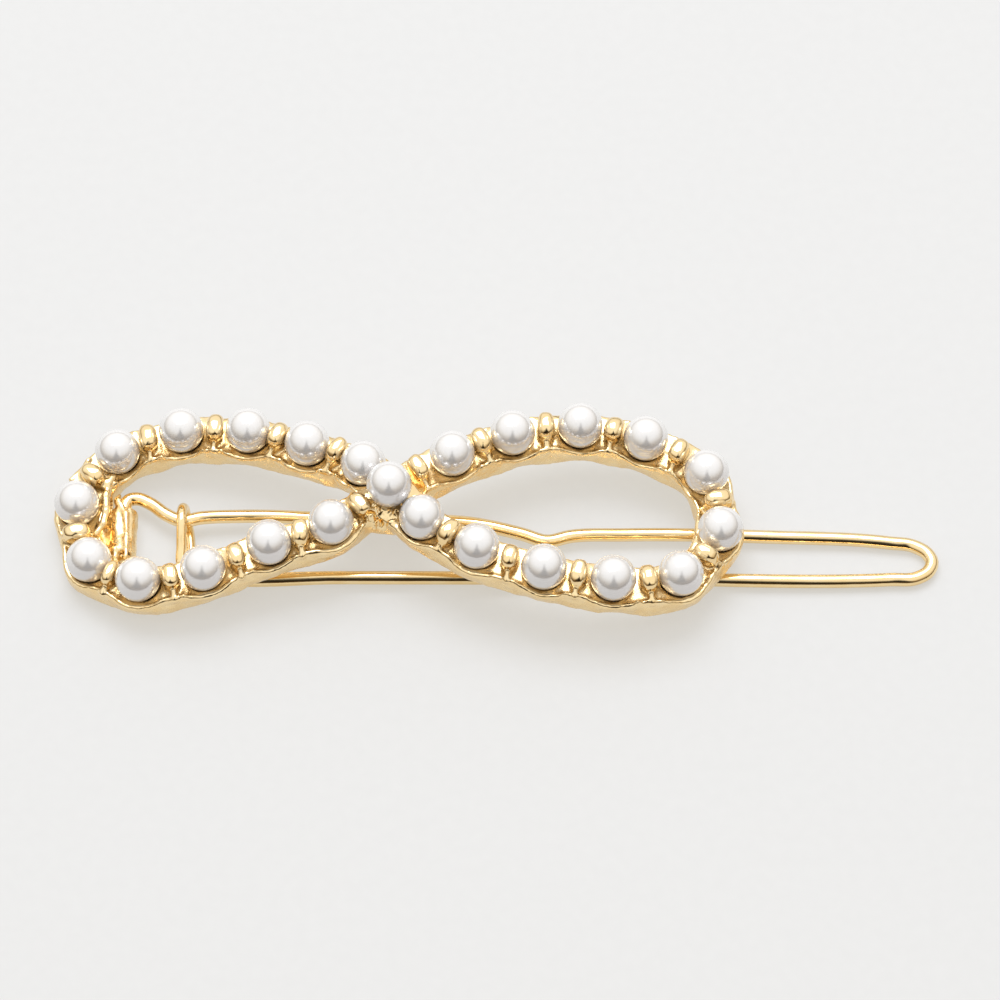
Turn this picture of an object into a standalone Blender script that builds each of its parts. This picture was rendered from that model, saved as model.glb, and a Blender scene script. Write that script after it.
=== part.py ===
"""Infinity barrette: a cast metal figure-eight frame set with pearls, closed by a wire loop.

Frame: +X runs along the barrette towards the bend of the wire loop, +Y runs across it,
+Z is up through the pearls, and the barrette stands on Z = 0.
Lengths are written in millimetres and built in metres.
"""
import math

import bmesh
import bpy
import numpy as np
from mathutils import Matrix, Vector

MM = 0.001

# ---- driving dimensions (mm) ----
PEARL_RADIUS = 2.0
PEARL_HEIGHT = 3.0            # pearl centre above the underside of the band
PEARL_HOLE_RADIUS = 0.5       # blind hole that takes the cup's peg
PEARL_HOLE_TOP = -0.3         # end of the hole, below the pearl centre
CUP_GAP = 0.3                 # between a pearl and its cup
PEG_RADIUS = 0.4
PEG_TOP = -0.6                # below the pearl centre
PEG_LENGTH = 2.1
TOUCHING_PITCH = 4.5          # seats nearer than this have no room for a prong between them
TANGENT_SPAN = 0.3            # half length of the chord that gives the strand's direction
CROSSING_LIFT = 1.5           # how far the crossing pearl stands above the strand
LIFT_LENGTH = 2.6             # half length of that rise

ARCH_RADIUS = 126.0           # the frame is bent along X to follow the head
ARCH_HEIGHT = 4.1             # underside of the band at the middle
END_RISE = 0.035              # slope that lifts the right end onto the wire loop
UNDER_STRAND_LIFT = 0.3       # the lower strand stops short of the underside at the crossing
CROSSING_HALF = 2.4           # half length of the plain stretch of the lower strand
BAND_END = 0.3                # from the crossing to the band's two ends, inside the upper strand

BAND_HALF_PEARL = 2.5         # half width of the band beside a pearl
BAND_HALF_PRONG = 2.05        # half width of the band beside a prong
UNDERSIDE_INSET = 0.55        # the walls lean in by this much towards the underside
RIM_AT_PEARL = 1.7            # rim height above the underside, beside a pearl
RIM_AT_PRONG = 2.5            # the same, beside a prong
LOW_STRAND_TOP = 1.5          # top of the lower strand where the upper one covers it
PRONG_BASE = 2.4              # height of the prong's widest section
PRONG_RISE = 2.0              # and how far it stands above that
PRONG_HALF_LENGTH = 0.75      # along the strand, where the pearls leave room for it
PRONG_CLEARANCE = 0.12        # between a prong and the pearls beside it
PRONG_HALF_WIDTH = 1.6        # across the strand

WIRE_RADIUS = 0.6
HOOK_RADIUS = 0.45            # the hook end of the wire is drawn thinner
PIN_X = -24.2                 # hinge axis, parallel to Y
PIN_Z = 1.5
BORE_RADIUS = 0.66
BORE_OVERRUN = 1.0            # the cutter is longer than the knuckle by this much at each end
KNUCKLE_RADIUS = 1.2
KNUCKLE_Y = (-3.0, 1.3)
PIN_HEAD_RADIUS = 0.8
PIN_HEAD_LENGTH = 0.5
PIN_HEAD_EDGE = 0.1           # chamfer of the head's free end
PIN_HEAD_GAP = 0.1            # between the knuckle and the head
PIN_STEP = 0.02               # from the pin to the head, along the pin
PIN_LEAD = 0.25               # straight wire beyond the knuckle
WEB_UNDERSIDE = 2.55
WEB_THICKNESS = 0.5           # least thickness of the web
WEB_ROWS = ((-3.7, -26.4), (-2.6, -26.9), (-1.2, -27.2), (1.0, -27.0), (3.0, -26.7))
WEB_COLUMNS = [-25.75, -25.25, -24.4, -23.75, -23.2]
WEB_TOPS = (1.5, 2.5, 3.05, 3.1, 3.4, 3.1)
WEB_BOTTOMS = (0.3, 0.3) + (WEB_UNDERSIDE,) * 4
KNUCKLE_TOP = 3.0             # the knuckle ends inside the web
KNUCKLE_FOOT = 0.7            # its flat foot reaches this far right of the hinge axis
KNUCKLE_ROUND = (-50, -15, 20, 55, 90)  # degrees round the hinge axis, on the rounded side
NOTCH_WEB = ((-4.0, -0.6), (-3.4, -2.2), (-1.2, -2.7), (-0.2, -2.5), (-0.2, -0.8))
NOTCH_WEB_LOW = 0.5           # above the underside of the band
NOTCH_WEB_HIGH = 1.6

BOX_CENTRE = (8.49, -0.05)    # plan centre of the finished part, which becomes the origin

# Pearl seats in plan, in order along the strand: from the crossing round the right loop, under
# the crossing and round the left loop. The hand-made wax model spaces them unevenly.
CROSSING_SEAT = (-0.55, 0.15)
RIGHT_SEATS = (
    (2.3, -2.4), (7.1, -5.2), (12.9, -7.1), (18.9, -7.9), (24.8, -7.0), (28.4, -2.2),
    (27.3, 3.4), (22.0, 6.4), (16.2, 7.3), (10.2, 6.3), (4.9, 4.1),
)
UNDER_CROSSING = (-0.9, 0.9)  # where the lower strand passes under the upper one
LEFT_SEATS = (
    (-5.6, -2.6), (-11.0, -4.3), (-16.7, -6.4), (-22.4, -6.9), (-26.9, -4.4), (-28.3, 1.5),
    (-24.9, 6.3), (-19.2, 7.8), (-13.2, 7.2), (-7.9, 5.5), (-2.9, 3.1),
)

# Wire loop: x, y, z and radius along its centreline, from the hinge pin to the hook's tip.
WIRE_PATH = (
    (-24.2, 2.0, 1.5, WIRE_RADIUS), (-23.9, 2.6, 1.5, WIRE_RADIUS),
    (-23.2, 2.75, 1.52, WIRE_RADIUS), (-21.9, 2.2, 1.56, WIRE_RADIUS),
    (-20.5, 1.1, 1.6, WIRE_RADIUS), (-19.0, 0.45, 1.6, WIRE_RADIUS),
    (-17.5, 0.75, 1.58, WIRE_RADIUS), (-14.0, 0.95, 1.54, WIRE_RADIUS),
    (-3.0, 0.6, 1.38, WIRE_RADIUS), (7.5, 0.25, 1.22, WIRE_RADIUS),
    (11.2, -0.7, 1.17, WIRE_RADIUS), (13.2, -1.35, 1.14, WIRE_RADIUS),
    (15.3, -0.85, 1.1, WIRE_RADIUS), (20.0, -0.65, 1.03, WIRE_RADIUS),
    (33.0, -0.75, 0.82, WIRE_RADIUS), (43.5, -1.25, 0.66, WIRE_RADIUS),
    (45.8, -1.6, 0.62, WIRE_RADIUS), (46.9, -2.35, 0.61, WIRE_RADIUS),
    (47.25, -3.2, 0.61, WIRE_RADIUS), (46.9, -4.1, 0.61, WIRE_RADIUS),
    (45.8, -4.8, 0.62, WIRE_RADIUS), (43.5, -4.95, 0.64, WIRE_RADIUS),
    (20.0, -4.95, 0.86, WIRE_RADIUS), (-5.0, -5.0, 1.1, WIRE_RADIUS),
    (-16.4, -5.05, 1.2, 0.58), (-18.2, -4.8, 1.24, 0.5), (-18.95, -3.9, 1.4, HOOK_RADIUS),
    (-19.0, -2.4, 1.85, HOOK_RADIUS), (-19.0, -1.0, 2.45, HOOK_RADIUS),
    (-19.0, 0.2, 2.78, HOOK_RADIUS), (-19.0, 1.35, 2.3, HOOK_RADIUS),
    (-18.9, 1.72, 1.5, HOOK_RADIUS), (-18.75, 1.1, 0.66, HOOK_RADIUS),
    (-18.5, 0.0, 0.48, HOOK_RADIUS), (-18.3, -1.6, 0.55, HOOK_RADIUS),
    (-18.2, -3.0, 0.7, HOOK_RADIUS),
)

# ---- mesh resolution ----
PEARL_SEGMENTS = 12
PEARL_RINGS = 7
WIRE_SIDES = 8
WIRE_SAMPLES = 0.15           # spacing of the samples that its rings are picked from
PEG_SIDES = 6
BORE_SIDES = 16
WIRE_SHORT_STEP = 0.35        # least spacing of the wire's rings
WIRE_LONG_STEP = 4.0          # and the most, where it is straight
WIRE_TURN = 13                # degrees that the wire may turn between two rings
# Stations along the strand, as fractions of the way from a pearl to the next prong or pearl.
PRONG_STATIONS = (0.0, 0.33, 0.58, 0.75, 0.87, 1.0)
TOUCHING_STATIONS = (0.0, 0.25, 0.5, 0.75, 1.0)
# Points across the band's top, as fractions of its half width.
ACROSS = (-1.0, -0.74, -0.5, 0.0, 0.5, 0.74, 1.0)


def clear_scene():
    """Remove every object, so that the script gives the same model each time."""
    for obj in list(bpy.data.objects):
        bpy.data.objects.remove(obj, do_unlink=True)


def make_material(name, color, roughness, metallic):
    """A Principled BSDF material."""
    material = bpy.data.materials.new(name)
    material.use_nodes = True
    shader = material.node_tree.nodes["Principled BSDF"]
    shader.inputs["Base Color"].default_value = (*color, 1.0)
    shader.inputs["Roughness"].default_value = roughness
    shader.inputs["Metallic"].default_value = metallic
    return material


def add_object(name, mesh, material=None):
    """Put a mesh into the scene under a name."""
    obj = bpy.data.objects.new(name, mesh)
    bpy.context.scene.collection.objects.link(obj)
    if material:
        mesh.materials.clear()
        mesh.materials.append(material)
    return obj


def mesh_from(name, points, faces):
    """A mesh from points in millimetres, with its faces turned outwards."""
    bm = bmesh.new()
    verts = [bm.verts.new(Vector(point) * MM) for point in points]
    for face in faces:
        bm.faces.new([verts[i] for i in face])
    bmesh.ops.recalc_face_normals(bm, faces=bm.faces)
    mesh = bpy.data.meshes.new(name)
    bm.to_mesh(mesh)
    bm.free()
    return mesh


# ---- curves ----
def smooth_curve(points, closed, step=0.1):
    """Points about `step` apart on a smooth curve through the given points.

    Each span is a cubic whose end tangents follow its neighbours (Catmull-Rom, with each
    tangent weighted by the lengths of the spans beside it). Also returns the index of each
    given point.
    """
    pts = np.array(points, dtype=float)
    count = len(pts)
    if closed:
        before, after = np.roll(pts, 1, axis=0), np.roll(pts, -1, axis=0)
    else:
        before = np.vstack([2 * pts[0] - pts[1], pts[:-1]])
        after = np.vstack([pts[1:], 2 * pts[-1] - pts[-2]])
    back = np.linalg.norm(pts - before, axis=1)[:, None]
    ahead = np.linalg.norm(after - pts, axis=1)[:, None]
    slope = ((pts - before) / back * ahead + (after - pts) / ahead * back) / (back + ahead)
    result, marks = [], []
    for i in range(count if closed else count - 1):
        j = (i + 1) % count
        length = ahead[i, 0]
        steps = max(2, round(length / step))
        marks.append(len(result))
        for t in np.arange(steps) / steps:
            hermite = (2 * t**3 - 3 * t**2 + 1, (t**3 - 2 * t**2 + t) * length,
                       3 * t**2 - 2 * t**3, (t**3 - t**2) * length)
            result.append(hermite[0] * pts[i] + hermite[1] * slope[i]
                          + hermite[2] * pts[j] + hermite[3] * slope[j])
    if not closed:
        marks.append(len(result))
        result.append(pts[-1])
    return np.array(result), marks


def arc_lengths(points):
    """Distance along a polyline to each of its points."""
    steps = np.linalg.norm(np.diff(points, axis=0), axis=1)
    return np.concatenate([[0.0], np.cumsum(steps)])


class Strand:
    """The figure-eight centreline, measured along from the upper pass of the crossing.

    `seats` and `prongs` are distances along it; a prong stands half way between two seats.
    """

    def __init__(self):
        stops = (CROSSING_SEAT,) + RIGHT_SEATS + (UNDER_CROSSING,) + LEFT_SEATS
        points, marks = smooth_curve(stops, closed=True)
        self.points = np.vstack([points, points[:1]])
        self.along = arc_lengths(self.points)
        self.length = self.along[-1]
        distances = [float(self.along[mark]) for mark in marks]
        self.lower_crossing = distances.pop(1 + len(RIGHT_SEATS))
        self.seats = distances
        ends = sorted(distances + [self.lower_crossing, self.length])
        self.prongs = [(a + b) / 2 for a, b in zip(ends, ends[1:]) if b - a > TOUCHING_PITCH]

    def at(self, s):
        """The plan position at distance s."""
        s = s % self.length
        return np.array([np.interp(s, self.along, self.points[:, k]) for k in (0, 1)])

    def across(self, s):
        """The unit vector across the strand, to its left, at distance s."""
        tangent = self.at(s + TANGENT_SPAN) - self.at(s - TANGENT_SPAN)
        tangent /= np.linalg.norm(tangent)
        return np.array([-tangent[1], tangent[0]])

    def pearl_centre(self, stop):
        """The centre of the pearl on the seat at distance `stop`."""
        x, y = self.at(stop)
        return x, y, underside(x) + PEARL_HEIGHT + self.lift(stop)

    def clear_of_pearls(self, plan, z):
        """A height, lowered where a pearl's cup is needed."""
        reach = PEARL_RADIUS + CUP_GAP
        for stop in self.seats:
            x, y, height = self.pearl_centre(stop)
            offset = math.hypot(plan[0] - x, plan[1] - y)
            if offset < reach:
                z = min(z, height - math.sqrt(reach**2 - offset**2))
        return z

    def lift(self, s):
        """Rise of the upper strand above the arch near the crossing."""
        distance = min(s % self.length, self.length - s % self.length)
        return CROSSING_LIFT * math.exp(-((distance / LIFT_LENGTH) ** 2))


def underside(x):
    """Height of the band's underside: the arch, with its lowest end ground flat on Z = 0."""
    return max(0.0, ARCH_HEIGHT - x * x / (2 * ARCH_RADIUS) + END_RISE * x)


# ---- the cast frame ----
def strand_stations(strand):
    """Distances of the band's cross-sections, from one side of the lower strand's crossing
    all the way round to its other side."""
    stops = sorted(strand.seats + strand.prongs + [strand.length])
    stations = set()
    for a, b in zip(stops, stops[1:]):
        beside_prong = a in strand.prongs or b in strand.prongs
        fractions = PRONG_STATIONS if beside_prong else TOUCHING_STATIONS
        if a in strand.prongs:
            fractions = [1.0 - f for f in fractions]
        stations.update(round(a + f * (b - a), 4) for f in fractions)
    first = strand.lower_crossing + BAND_END
    last = strand.lower_crossing - BAND_END
    crossing = [s for s in stations if abs(s - strand.lower_crossing) < 3 * BAND_END]
    ring = sorted(s for s in stations if s not in crossing and s < strand.length - 0.01)
    after = [s for s in ring if s > strand.lower_crossing]
    before = [s for s in ring if s < strand.lower_crossing]
    return [first] + after + before + [last]


def band_section(strand, s):
    """One closed cross-section of the band, as 3-D points."""
    centre, across = strand.at(s), strand.across(s)
    length = strand.length

    def nearest(stops):
        offsets = [((s - stop + length / 2) % length) - length / 2 for stop in stops]
        return min(offsets, key=abs)

    to_prong = abs(nearest(strand.prongs))
    to_pearl = abs(nearest(strand.seats))
    from_crossing = abs(s % length - strand.lower_crossing)
    room = to_pearl + to_prong - PEARL_RADIUS - PRONG_CLEARANCE
    prong_half = max(PRONG_CLEARANCE, min(PRONG_HALF_LENGTH, room))
    share = to_pearl / (to_pearl + to_prong)
    blend = 0.5 - 0.5 * math.cos(math.pi * share)
    half = BAND_HALF_PEARL + (BAND_HALF_PRONG - BAND_HALF_PEARL) * blend
    rim = RIM_AT_PEARL + (RIM_AT_PRONG - RIM_AT_PEARL) * blend
    lift = strand.lift(s)
    low_strand = from_crossing < CROSSING_HALF
    base = UNDER_STRAND_LIFT if low_strand else 0.0
    points = []
    for fraction in ACROSS:
        w = fraction * half
        plan = centre + across * w
        base_height = underside(plan[0])
        height = strand.clear_of_pearls(plan, base_height + rim + lift) - base_height
        inside = 1.0 - (to_prong / prong_half) ** 2 - (w / PRONG_HALF_WIDTH) ** 2
        if inside > 0:
            height = max(height, PRONG_BASE + PRONG_RISE * math.sqrt(inside))
        if low_strand:
            height = min(height, LOW_STRAND_TOP)
        points.append((*plan, base_height + height))
    for side in (1.0, -1.0):
        plan = centre + across * side * (half - UNDERSIDE_INSET)
        points.append((*plan, underside(plan[0]) + base))
    return points


def build_band(strand):
    """The band: a single strip swept round the whole figure eight."""
    rings = [band_section(strand, s) for s in strand_stations(strand)]
    size = len(rings[0])
    points = [point for ring in rings for point in ring]
    faces = []
    for i in range(len(rings) - 1):
        for k in range(size):
            a, b = i * size + k, i * size + (k + 1) % size
            faces.append((a, b, b + size, a + size))
    faces.append(tuple(range(size)))
    faces.append(tuple(range(len(points) - size, len(points))))
    return mesh_from("band", points, faces)


def prism(name, outline, low, high):
    """A solid with a plan outline between two heights; a height may be a function of x, y."""
    def level(value, point):
        return value(*point) if callable(value) else value

    count = len(outline)
    points = [(*p, level(low, p)) for p in outline] + [(*p, level(high, p)) for p in outline]
    faces = [tuple(range(count)), tuple(range(count, 2 * count))]
    for k in range(count):
        j = (k + 1) % count
        faces.append((k, j, j + count, k + count))
    return mesh_from(name, points, faces)


def cylinder(name, start, end, radius, sides):
    """A closed cylinder between two points."""
    start, end = Vector(start), Vector(end)
    axis = (end - start).normalized()
    side = axis.orthogonal().normalized()
    other = axis.cross(side)
    points = []
    for centre in (start, end):
        for k in range(sides):
            angle = 2 * math.pi * (k + 0.5) / sides
            points.append(centre + (side * math.cos(angle) + other * math.sin(angle)) * radius)
    faces = [tuple(range(sides)), tuple(range(sides, 2 * sides))]
    for k in range(sides):
        j = (k + 1) % sides
        faces.append((k, j, j + sides, k + sides))
    return mesh_from(name, points, faces)


def web_mesh(strand):
    """The web that ties the knuckle to the left end: a patch with a ridge on its right edge.

    Its rows run across the barrette. Left of the knuckle it reaches down beside the band;
    over the knuckle and the wire's bend it is a thin plate.
    """
    rows = [(y, [left] + WEB_COLUMNS) for y, left in WEB_ROWS]
    across = len(rows[0][1])
    upper = []
    for y, columns in rows:
        upper += [(x, y, strand.clear_of_pearls((x, y), z)) for x, z in zip(columns, WEB_TOPS)]
    lower = [(x, y, min(z, top - WEB_THICKNESS))
             for (x, y, top), z in zip(upper, WEB_BOTTOMS * len(rows))]
    points = upper + lower
    under = len(upper)
    faces = []
    for i in range(len(rows) - 1):
        for k in range(across - 1):
            a = i * across + k
            quad = (a, a + 1, a + 1 + across, a + across)
            faces.append(quad)
            faces.append(tuple(under + v for v in quad))
    edge = list(range(across))
    edge += [i * across + across - 1 for i in range(1, len(rows))]
    edge += [(len(rows) - 1) * across + k for k in range(across - 2, -1, -1)]
    edge += [i * across for i in range(len(rows) - 2, 0, -1)]
    for a, b in zip(edge, edge[1:] + edge[:1]):
        faces.append((a, b, under + b, under + a))
    return mesh_from("web", points, faces)


def knuckle_mesh():
    """The hinge knuckle under the web: flat foot, straight left side, rounded right side."""
    outline = [(PIN_X - KNUCKLE_RADIUS, 0.0), (PIN_X + KNUCKLE_FOOT, 0.0)]
    for degrees in KNUCKLE_ROUND:
        angle = math.radians(degrees)
        outline.append((PIN_X + KNUCKLE_RADIUS * math.cos(angle),
                        PIN_Z + KNUCKLE_RADIUS * math.sin(angle)))
    outline += [(PIN_X, KNUCKLE_TOP), (PIN_X - KNUCKLE_RADIUS, KNUCKLE_TOP)]
    count = len(outline)
    points = [(x, y, z) for y in KNUCKLE_Y for x, z in outline]
    faces = [tuple(range(count)), tuple(range(count, 2 * count))]
    for k in range(count):
        j = (k + 1) % count
        faces.append((k, j, j + count, k + count))
    return mesh_from("knuckle", points, faces)


def build_frame(strand, material):
    """The cast frame: band, web, knuckle, notch web and pegs, with the knuckle bored."""
    frame = add_object("frame_casting", build_band(strand), material)
    additions = bpy.data.collections.new("frame_additions")
    bpy.context.scene.collection.children.link(additions)

    meshes = [
        web_mesh(strand),
        knuckle_mesh(),
        prism("notch_web", NOTCH_WEB, lambda x, y: underside(x) + NOTCH_WEB_LOW,
              lambda x, y: underside(x) + NOTCH_WEB_HIGH),
    ]
    for number, stop in enumerate(strand.seats, 1):
        x, y, centre = strand.pearl_centre(stop)
        top = centre + PEG_TOP
        meshes.append(cylinder(f"peg_{number:02d}", (x, y, top - PEG_LENGTH), (x, y, top),
                               PEG_RADIUS, PEG_SIDES))
    for mesh in meshes:
        guide = bpy.data.objects.new(mesh.name, mesh)
        additions.objects.link(guide)
        guide.hide_render = True
        guide.display_type = "WIRE"

    union = frame.modifiers.new("additions", "BOOLEAN")
    union.operation = "UNION"
    union.operand_type = "COLLECTION"
    union.collection = additions
    union.solver = "EXACT"
    union.use_self = True

    low, high = KNUCKLE_Y[0] - BORE_OVERRUN, KNUCKLE_Y[1] + BORE_OVERRUN
    bore = add_object("bore_cutter", cylinder("bore_cutter", (PIN_X, low, PIN_Z),
                                              (PIN_X, high, PIN_Z), BORE_RADIUS, BORE_SIDES))
    bore.hide_render = True
    bore.display_type = "WIRE"
    drill = frame.modifiers.new("bore", "BOOLEAN")
    drill.operation = "DIFFERENCE"
    drill.object = bore
    drill.solver = "EXACT"
    return frame


# ---- pearls ----
def pearl_mesh(material):
    """A pearl with a blind hole from below, turned about its own centre."""
    start = -math.acos(PEARL_HOLE_RADIUS / PEARL_RADIUS)
    profile = [(PEARL_HOLE_RADIUS, PEARL_HOLE_TOP)]
    for k in range(PEARL_RINGS):
        angle = start + (math.pi / 2 - start) * k / PEARL_RINGS
        profile.append((PEARL_RADIUS * math.cos(angle), PEARL_RADIUS * math.sin(angle)))
    points = [(0.0, 0.0, PEARL_HOLE_TOP), (0.0, 0.0, PEARL_RADIUS)]
    for r, z in profile:
        for k in range(PEARL_SEGMENTS):
            angle = 2 * math.pi * k / PEARL_SEGMENTS
            points.append((r * math.cos(angle), r * math.sin(angle), z))
    faces = []
    last = 2 + (len(profile) - 1) * PEARL_SEGMENTS
    for k in range(PEARL_SEGMENTS):
        j = (k + 1) % PEARL_SEGMENTS
        faces.append((0, 2 + k, 2 + j))
        faces.append((1, last + k, last + j))
        for i in range(len(profile) - 1):
            row = 2 + i * PEARL_SEGMENTS
            faces.append((row + k, row + j, row + PEARL_SEGMENTS + j, row + PEARL_SEGMENTS + k))
    mesh = mesh_from("pearl", points, faces)
    mesh.shade_smooth()
    mesh.materials.append(material)
    return mesh


def build_pearls(strand, material):
    """One pearl on each seat, all of one shape."""
    mesh = pearl_mesh(material)
    for number, stop in enumerate(strand.seats, 1):
        pearl = add_object(f"pearl_{number:02d}", mesh)
        pearl.location = Vector(strand.pearl_centre(stop)) * MM


# ---- wire loop ----
def wire_stations():
    """Centreline points and radii: close together in bends, far apart on straight runs."""
    root = KNUCKLE_Y[0] - PIN_HEAD_GAP
    end = root - PIN_HEAD_LENGTH
    far = KNUCKLE_Y[1] + PIN_LEAD
    head = [(PIN_X, end, PIN_Z, PIN_HEAD_RADIUS - 2 * PIN_HEAD_EDGE),
            (PIN_X, end + PIN_HEAD_EDGE, PIN_Z, PIN_HEAD_RADIUS),
            (PIN_X, root - PIN_STEP, PIN_Z, PIN_HEAD_RADIUS),
            (PIN_X, root, PIN_Z, WIRE_RADIUS),
            (PIN_X, far - PIN_STEP, PIN_Z, WIRE_RADIUS)]
    curve, _ = smooth_curve(((PIN_X, far, PIN_Z, WIRE_RADIUS),) + WIRE_PATH,
                            closed=False, step=WIRE_SAMPLES)
    along = arc_lengths(curve[:, :3])
    heading = np.diff(curve[:, :3], axis=0)
    heading /= np.linalg.norm(heading, axis=1)[:, None]
    kept, last = [0], 0
    for i in range(1, len(curve) - 1):
        turned = math.acos(min(1.0, float(heading[i] @ heading[kept[-1]])))
        gone = along[i] - along[last]
        bent = gone > WIRE_SHORT_STEP and turned > math.radians(WIRE_TURN)
        if gone > WIRE_LONG_STEP or bent:
            kept.append(i)
            last = i
    kept.append(len(curve) - 1)
    return head + [tuple(curve[i]) for i in kept]


def build_wire(material):
    """The spring-wire loop: headed hinge pin, two legs, finger bend and hook, in one piece."""
    stations = wire_stations()
    centres = [Vector(station[:3]) for station in stations]
    points, faces = [], []
    up = Vector((0.0, 0.0, 1.0))
    for i, centre in enumerate(centres):
        tangent = (centres[min(i + 1, len(centres) - 1)] - centres[max(i - 1, 0)]).normalized()
        up = (up - tangent * up.dot(tangent)).normalized()
        side = tangent.cross(up)
        for k in range(WIRE_SIDES):
            angle = 2 * math.pi * (k + 0.5) / WIRE_SIDES
            points.append(centre + (side * math.cos(angle) + up * math.sin(angle))
                          * stations[i][3])
    for i in range(len(centres) - 1):
        for k in range(WIRE_SIDES):
            a, b = i * WIRE_SIDES + k, i * WIRE_SIDES + (k + 1) % WIRE_SIDES
            faces.append((a, b, b + WIRE_SIDES, a + WIRE_SIDES))
    faces.append(tuple(range(WIRE_SIDES)))
    faces.append(tuple(range(len(points) - WIRE_SIDES, len(points))))
    mesh = mesh_from("clip_wire", points, faces)
    pin = Vector((PIN_X, 0.0, PIN_Z)) * MM
    mesh.transform(Matrix.Translation(-pin))
    mesh.shade_smooth()
    wire = add_object("clip_wire", mesh, material)
    wire.location = pin
    return wire


def set_origin():
    """Parent everything to an empty that puts the origin under the middle of the part."""
    origin = bpy.data.objects.new("barrette", None)
    bpy.context.scene.collection.objects.link(origin)
    origin.location = Vector((-BOX_CENTRE[0], -BOX_CENTRE[1], 0.0)) * MM
    for obj in bpy.data.objects:
        if obj is not origin:
            obj.parent = origin


def main():
    clear_scene()
    gold = make_material("gold_casting", (0.83, 0.58, 0.25), 0.22, 1.0)
    wire_gold = make_material("gold_wire", (0.85, 0.62, 0.28), 0.15, 1.0)
    pearl_white = make_material("pearl", (0.9, 0.88, 0.86), 0.2, 0.0)
    strand = Strand()
    build_frame(strand, gold)
    build_pearls(strand, pearl_white)
    build_wire(wire_gold)
    set_origin()


main()
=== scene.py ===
"""Looks of the infinity barrette: cast gold frame, pearls and spring-wire loop.

The cast frame is modelled as a solid field on a fine grid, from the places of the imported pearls,
and meshed with a surface net. Lengths are in millimetres unless a name says otherwise.
"""

import math

import bpy
import numpy as np
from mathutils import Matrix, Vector


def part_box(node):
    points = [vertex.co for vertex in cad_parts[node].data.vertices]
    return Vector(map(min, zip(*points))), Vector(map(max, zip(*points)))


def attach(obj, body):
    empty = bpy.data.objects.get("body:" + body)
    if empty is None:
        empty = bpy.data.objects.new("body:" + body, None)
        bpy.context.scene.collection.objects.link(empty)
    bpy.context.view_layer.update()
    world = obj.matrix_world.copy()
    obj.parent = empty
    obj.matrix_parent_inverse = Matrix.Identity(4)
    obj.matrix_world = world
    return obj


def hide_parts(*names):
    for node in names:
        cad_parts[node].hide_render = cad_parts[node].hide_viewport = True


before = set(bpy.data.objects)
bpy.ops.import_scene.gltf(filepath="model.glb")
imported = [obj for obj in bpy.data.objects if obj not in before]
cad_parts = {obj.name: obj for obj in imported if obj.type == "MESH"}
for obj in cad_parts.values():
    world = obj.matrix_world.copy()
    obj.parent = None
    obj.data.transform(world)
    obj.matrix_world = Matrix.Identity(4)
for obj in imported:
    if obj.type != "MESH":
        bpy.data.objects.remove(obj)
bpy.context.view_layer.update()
MM = 0.001
RNG = np.random.default_rng(11)

# ---- frame, as in the CAD ----
PEARLS = 23
RIGHT_LOOP = 12               # pearls 1 to 12 come before the lower pass of the crossing
TOUCHING_PITCH = 4.5          # pearls nearer than this have no prong between them
PEARL_RADIUS = 2.0
PEARL_HEIGHT = 3.0            # pearl centre above the underside of the band
PEARL_HOLE_RADIUS = 0.5
PEARL_HOLE_TOP = -0.3         # end of the blind hole, below the pearl centre
CROSSING_LIFT = 1.5           # extra height of the upper strand at the crossing
LIFT_LENGTH = 2.6             # along the strand, over which that lift fades
LOWER_LIFT = 0.3              # of the lower strand's underside at the crossing
ORIGIN = np.array([8.49, -0.05, 0.0])  # the CAD's origin in the coordinates of WIRE_PATH
UNDER_CROSSING = np.array([-0.9, 0.9]) - ORIGIN[:2]  # where the lower strand passes, in plan
PIN_X, PIN_Z = -24.2 - ORIGIN[0], 1.5
KNUCKLE_Y = (-3.0 - ORIGIN[1], 1.3 - ORIGIN[1])
KNUCKLE_RADIUS = 1.2
BORE_RADIUS = 0.66
WIRE_RADIUS = 0.6
HOOK_RADIUS = 0.45
FLOOR_Z = 0.0

# ---- section of the band: heights above its underside, half widths from its middle ----
RIDGE_HALF = 2.22             # to the crest of a rim, beside a pearl
RIM_HEIGHT = 1.95             # of that crest
TROUGH_HEIGHT = 1.82          # of the floor between the rims
FOOT_HALF = 1.92              # to the outer wall at the underside
LOW_RIM, LOW_TROUGH = 1.45, 1.3  # the two heights where the strand passes under the crossing
CREST_WIDTH = 0.26            # of the slope from a crest down to the floor
WALL_BEYOND_RIDGE = 0.17      # from a crest to the outer wall
WALL_BULGE = 0.08             # of the outer wall at mid height
CUSP_OFFSET = 0.95            # from a prong to the small peaks of the rim beside it
NOTCH_AT, NOTCH_LENGTH = 0.35, 1.9  # low stretch of the near rim below the crossing pearl

# ---- prongs, cups and pegs ----
GRAIN_HEIGHT = 3.0            # centre of a prong's grain above the underside
GRAIN_LENGTHS = (0.5, 0.79)   # least and most half length along the strand
GRAIN_HALF_WIDTH = 1.2
GRAIN_HALF_HEIGHT = 1.0
GRAIN_GAP = 0.03              # between a grain's end and the pearls beside it
GRAIN_POWER = 2.7             # squareness
SADDLE_DROP = 1.3             # from the grain's centre to that of the lump under it
SADDLE_RADII = (0.62, 1.5, 1.4)
CUP_RADIUS = 2.08
PEG_FOOT, PEG_TIP = 2.5, 0.95  # below the pearl centre
PEG_RADII = (0.4, 0.35)       # at its foot and tip

# ---- casting mesh ----
GRID = 0.14                   # spacing of the field
FAR = 5.0                     # value of the field where nothing is near
FIELD_MARGIN = 0.7            # of the grid round the CAD's box
RELAX_ROUNDS, RELAX_FACTOR = 2, 0.5

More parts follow.
